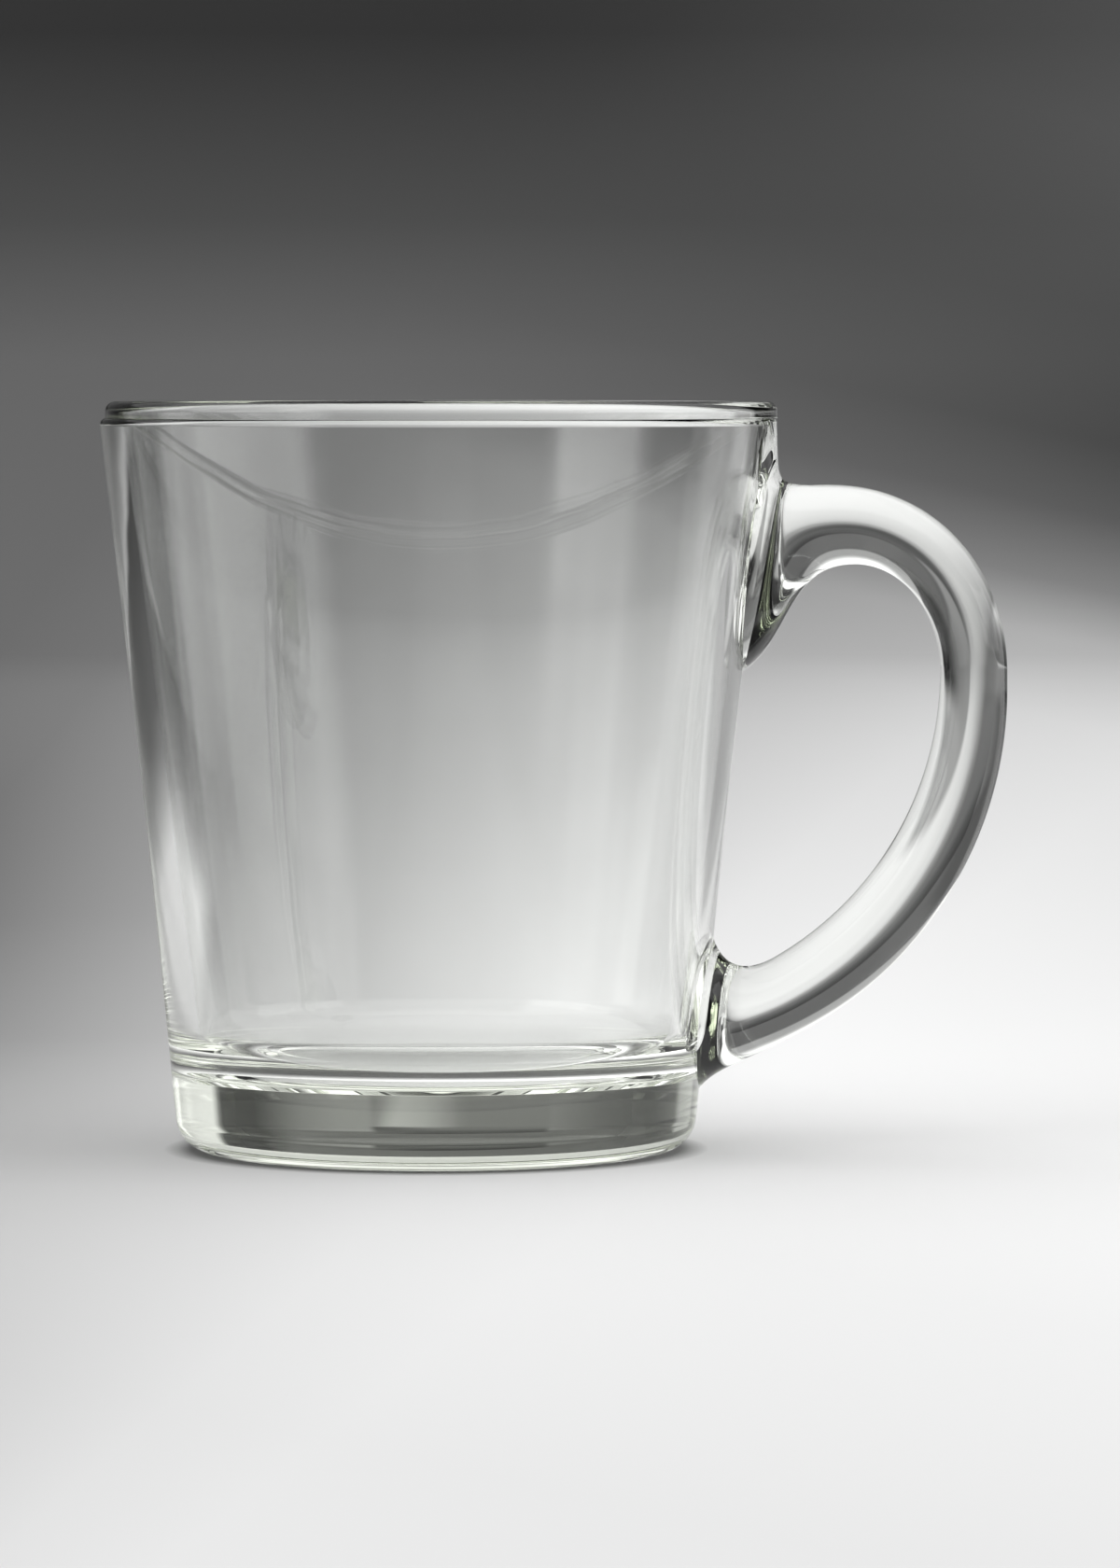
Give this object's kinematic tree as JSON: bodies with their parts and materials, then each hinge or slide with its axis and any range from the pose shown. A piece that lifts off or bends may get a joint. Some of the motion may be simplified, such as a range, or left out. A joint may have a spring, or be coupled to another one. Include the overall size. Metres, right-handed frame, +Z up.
{
  "type": "glass coffee mug",
  "caption": "Clear pressed-glass mug: tapered bowl on a thick solid base, with a round-rod loop handle on one side.",
  "frame": {"origin": "on the bowl's axis, in the plane of the ring that the mug stands on", "axes": "+Z up along the bowl's axis, +X from the axis towards the handle, +Y across"},
  "size_m": [0.1161, 0.086, 0.0958],
  "materials": {
    "bowl_glass": "clear polished soda-lime glass, faint green in thick sections",
    "handle_glass": "clear polished soda-lime glass, faint green in thick sections"
  },
  "bodies": {
    "root": {"bowl": "bowl_glass", "handle": "handle_glass"}
  },
  "joints": []
}
